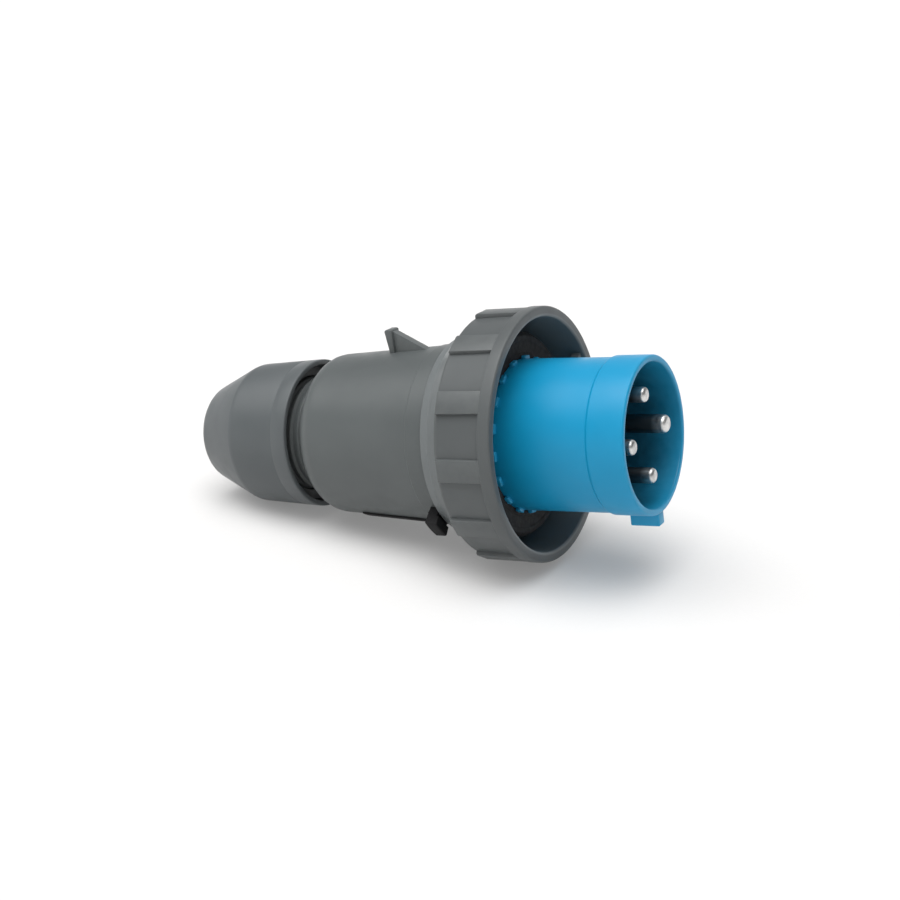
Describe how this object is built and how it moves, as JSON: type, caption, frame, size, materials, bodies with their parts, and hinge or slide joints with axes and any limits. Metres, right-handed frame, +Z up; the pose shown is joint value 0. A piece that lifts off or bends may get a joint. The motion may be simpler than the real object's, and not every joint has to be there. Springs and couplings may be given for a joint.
{
  "type": "industrial pin and sleeve plug",
  "caption": "Industrial pin and sleeve plug: blue sleeve with round contact pins and a key, ribbed bayonet locking ring, tapered grey housing with a hook, and a screwed cord gland.",
  "frame": {"origin": "on the ground under the middle of the plug's bounding box, as it lies at rest", "axes": "+X along the ground towards the pins, +Y away from the side that the picture shows, +Z up; the plug's axis rises towards the pins by 10.41 degrees"},
  "size_m": [0.1694, 0.0822, 0.0837],
  "materials": {
    "carrier_blue": "satin",
    "housing_grey": "satin",
    "ring_grey": "satin",
    "gland_grey": "satin",
    "catch_black": "matte",
    "seal_rubber": "matte",
    "contact_nickel": "nickel plated",
    "screw_steel": "zinc plated"
  },
  "bodies": {
    "plug": {"plug_sleeve": "carrier_blue", "contact_carrier": "carrier_blue", "pin_l1": "contact_nickel", "pin_l2": "contact_nickel", "pin_l3": "contact_nickel", "pin_earth": "contact_nickel", "terminal_screw_l1": "screw_steel", "terminal_screw_l2": "screw_steel", "terminal_screw_l3": "screw_steel", "terminal_screw_earth": "screw_steel", "pin_retainer": "carrier_blue", "retainer_screw_a": "screw_steel", "retainer_screw_b": "screw_steel", "flange_gasket": "seal_rubber", "housing_seal": "seal_rubber", "rear_housing": "housing_grey", "housing_catch": "catch_black", "gland_seal": "seal_rubber", "clamp_cage": "gland_grey"},
    "ring": {"locking_ring": "ring_grey"},
    "washer": {"gland_washer": "screw_steel"},
    "nut": {"gland_nut": "gland_grey"}
  },
  "joints": [
    {"name": "ring_turn", "type": "hinge", "parent": "plug", "child": "ring", "pos_m": [0.01959, 0, 0.03886], "axis": [0.9835, 0, 0.1807], "range_deg": [0, 60]},
    {"name": "gland_slide", "type": "slide", "parent": "plug", "child": "washer", "axis": [0.9835, 0, 0.1807], "range_m": [0, 0.0036]},
    {"name": "gland_turn", "type": "hinge", "parent": "washer", "child": "nut", "pos_m": [-0.06332, 0, 0.02363], "axis": [0.9835, 0, 0.1807], "range_deg": [0, 435]}
  ],
  "couplings": [
    {"joint": "gland_turn", "follows": "gland_slide", "rad_per_m": 2094.4}
  ]
}
